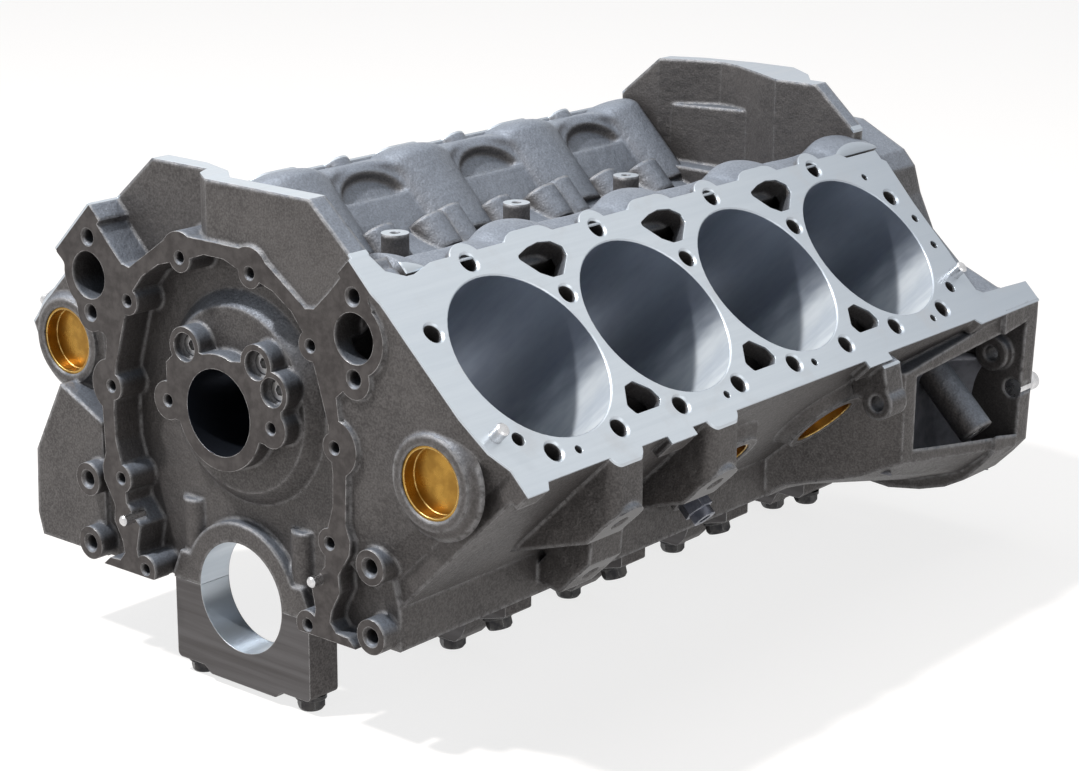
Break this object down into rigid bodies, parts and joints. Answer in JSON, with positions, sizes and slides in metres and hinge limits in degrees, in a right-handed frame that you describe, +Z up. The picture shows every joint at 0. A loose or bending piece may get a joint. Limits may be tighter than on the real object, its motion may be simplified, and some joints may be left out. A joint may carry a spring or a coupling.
{
  "type": "engine block",
  "caption": "Bare V-type cast-iron engine block with siamesed bores, machined decks, bearing caps, core plugs and dowels.",
  "frame": {"origin": "on the crankshaft axis at the middle main bearing, in the plane of the pan rail", "axes": "+Y rearward along the crankshaft to the flywheel end, +X to the left bank, +Z up"},
  "size_m": [0.4425, 0.5662, 0.3063],
  "materials": {
    "casting": "rough sand-cast skin with machined faces",
    "cap_iron": "cast with milled sides",
    "bolt_black": "black oxide",
    "plug_brass": "drawn, satin",
    "plug_steel": "dull steel",
    "dowel_steel": "ground"
  },
  "bodies": {
    "root": {"block_casting": "casting", "main_cap_1_front": "cap_iron", "main_cap_2_second": "cap_iron", "main_cap_3_middle": "cap_iron", "main_cap_4_fourth": "cap_iron", "main_cap_5_rear": "cap_iron", "cap_bolts_1_front": "bolt_black", "cap_bolts_2_second": "bolt_black", "cap_bolts_3_middle": "bolt_black", "cap_bolts_4_fourth": "bolt_black", "cap_bolts_5_rear": "bolt_black", "core_plug_front_left": "plug_brass", "core_plug_front_right": "plug_brass", "core_plug_rear_left": "plug_brass", "core_plug_rear_right": "plug_brass", "core_plug_left_1": "plug_brass", "core_plug_left_2": "plug_brass", "core_plug_left_3": "plug_brass", "core_plug_right_1": "plug_brass", "core_plug_right_2": "plug_brass", "core_plug_right_3": "plug_brass", "cam_plug_rear": "plug_steel", "gallery_plug_front_1": "plug_steel", "gallery_plug_front_2": "plug_steel", "gallery_plug_front_3": "plug_steel", "gallery_plug_rear_1": "plug_steel", "gallery_plug_rear_2": "plug_steel", "gallery_plug_rear_3": "plug_steel", "oil_boss_plug": "plug_steel", "drain_plug_left": "plug_steel", "drain_plug_right": "plug_steel", "head_dowel_left_front": "dowel_steel", "head_dowel_left_rear": "dowel_steel", "head_dowel_right_front": "dowel_steel", "head_dowel_right_rear": "dowel_steel", "timing_dowel_left": "dowel_steel", "timing_dowel_right": "dowel_steel", "housing_dowel_left": "dowel_steel", "housing_dowel_right": "dowel_steel"}
  },
  "joints": []
}
